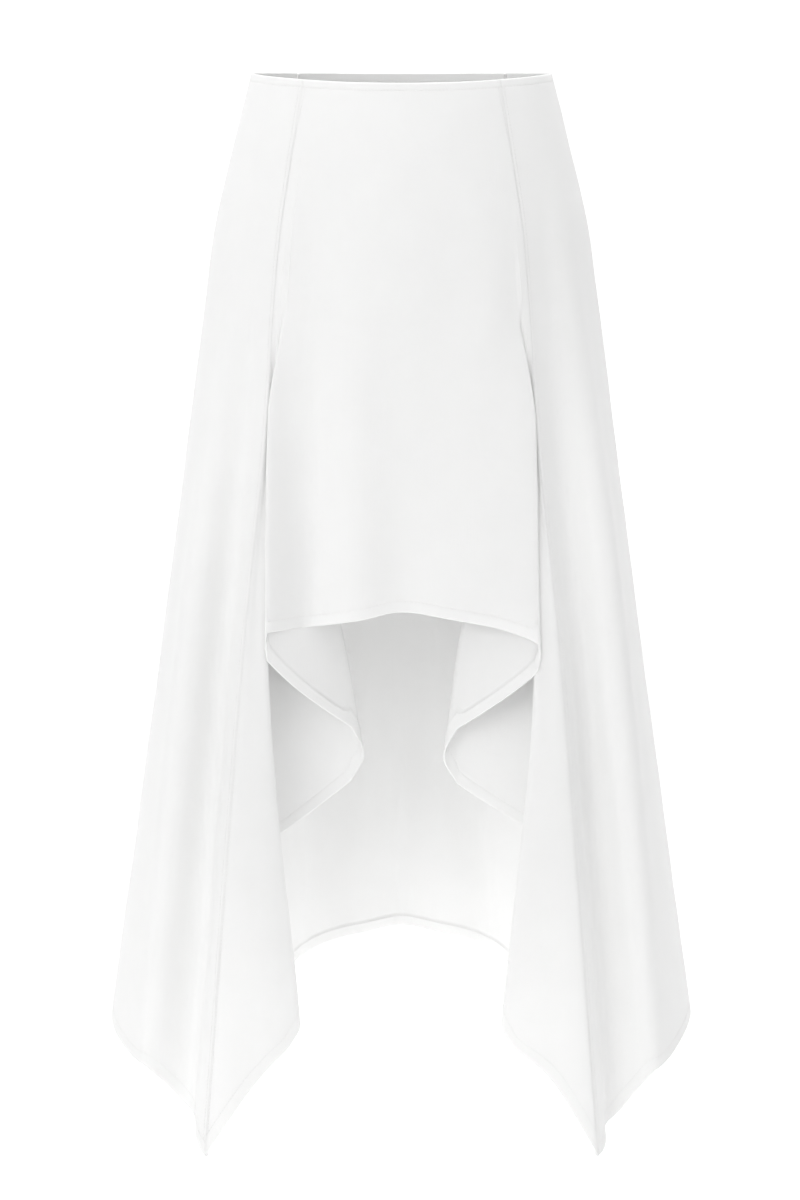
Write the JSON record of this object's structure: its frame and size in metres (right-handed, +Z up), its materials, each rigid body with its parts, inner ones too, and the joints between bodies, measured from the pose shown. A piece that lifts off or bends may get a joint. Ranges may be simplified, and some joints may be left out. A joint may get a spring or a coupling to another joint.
{
  "type": "midi skirt",
  "caption": "Plain white midi skirt with long front and back panel seams, a faced waist edge and a deep handkerchief hem, in its worn form.",
  "frame": {"origin": "middle of the waist opening, level with the waist edge at the sides", "axes": "+Z up, -Y towards the front, +X towards the wearer's left"},
  "size_m": [0.5164, 0.3576, 0.9303],
  "materials": {
    "crepe": "matt white crepe with a fine dry grain"
  },
  "bodies": {
    "root": {"front_panel": "crepe", "side_panel_left": "crepe", "side_panel_right": "crepe", "back_panel": "crepe"}
  },
  "joints": []
}
